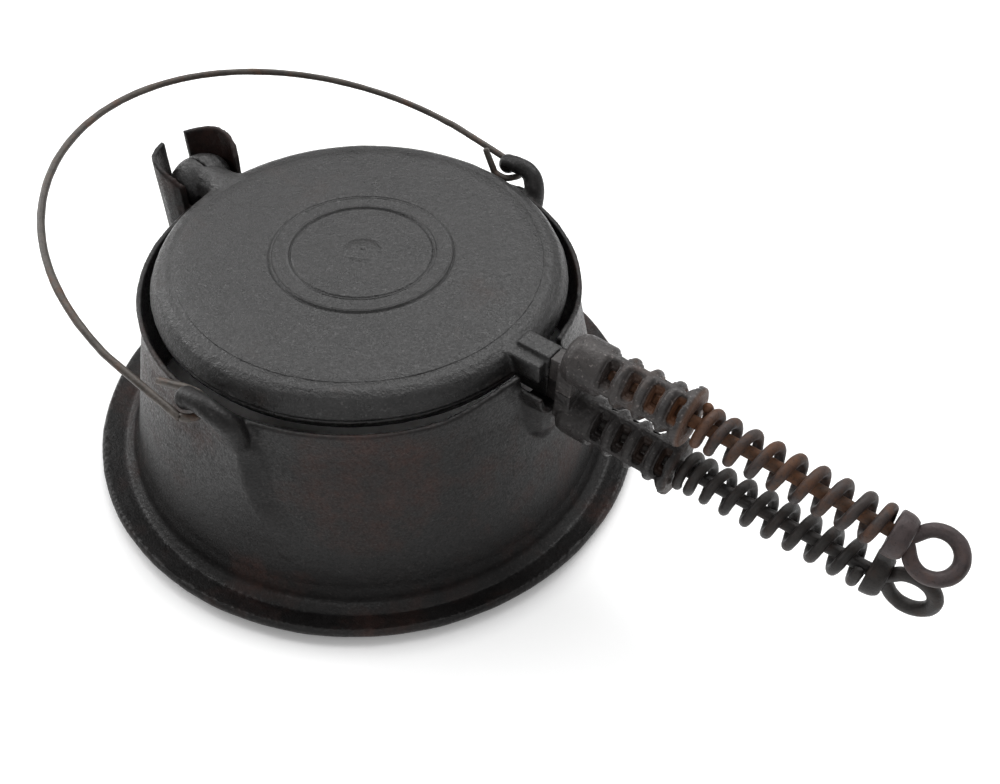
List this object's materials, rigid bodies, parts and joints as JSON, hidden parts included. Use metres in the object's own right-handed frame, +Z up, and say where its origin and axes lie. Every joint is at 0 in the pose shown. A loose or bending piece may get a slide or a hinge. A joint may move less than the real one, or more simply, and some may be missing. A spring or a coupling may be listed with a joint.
{
  "type": "stovetop waffle iron",
  "caption": "Round cast-iron waffle iron: two hinged patterned plates with wire coil handles turn over in a deep flared base ring with a wire bail.",
  "frame": {"origin": "centre of the bounding box's bottom face, on the stove's top", "axes": "+X along the handles, away from the plates' ball hinge; +Z up; +Y to the left seen along +X"},
  "size_m": [0.4401, 0.28, 0.1285],
  "materials": {
    "base_casting": "seasoned, fine sand-cast grain, thin rust film",
    "upper_plate": "seasoned, fine sand-cast grain, thin rust film",
    "lower_plate": "seasoned, fine sand-cast grain, thin rust film",
    "upper_ferrule": "seasoned, fine sand-cast grain, thin rust film",
    "lower_ferrule": "seasoned, fine sand-cast grain, thin rust film",
    "upper_coil": "bare wire gone brown with rust",
    "lower_coil": "bare wire gone brown with rust",
    "upper_end_cap": "bare wire gone brown with rust",
    "lower_end_cap": "bare wire gone brown with rust",
    "upper_eye_rod": "bare wire gone brown with rust",
    "lower_eye_rod": "bare wire gone brown with rust",
    "bail": "bare wire gone brown with rust"
  },
  "bodies": {
    "base": {"base_casting": "base_casting"},
    "lower_plate": {"lower_plate": "lower_plate", "lower_ferrule": "lower_ferrule"},
    "upper_plate": {"upper_plate": "upper_plate", "upper_ferrule": "upper_ferrule"},
    "upper_handle": {"upper_coil": "upper_coil", "upper_eye_rod": "upper_eye_rod", "upper_end_cap": "upper_end_cap"},
    "lower_handle": {"lower_coil": "lower_coil", "lower_eye_rod": "lower_eye_rod", "lower_end_cap": "lower_end_cap"},
    "bail": {"bail": "bail"}
  },
  "joints": [
    {"name": "flip", "type": "hinge", "parent": "base", "child": "lower_plate", "pos_m": [-0.17193, 0, 0.0975], "axis": [1, 0, 0], "range_deg": [-180, 0]},
    {"name": "open", "type": "hinge", "parent": "lower_plate", "child": "upper_plate", "pos_m": [-0.17193, 0, 0.0975], "axis": [0, -1, 0], "range_deg": [0, 90]},
    {"name": "bail_swing", "type": "hinge", "parent": "base", "child": "bail", "pos_m": [-0.04913, 0, 0.097], "axis": [0, 1, 0], "range_deg": [0, 120]},
    {"name": "upper_handle_turn", "type": "hinge", "parent": "upper_plate", "child": "upper_handle", "pos_m": [0.06007, 0, 0.1127], "axis": [0.9998, 0, -0.0209], "continuous": true},
    {"name": "lower_handle_turn", "type": "hinge", "parent": "lower_plate", "child": "lower_handle", "pos_m": [0.06007, 0, 0.0823], "axis": [0.9998, 0, 0.0209], "continuous": true}
  ]
}
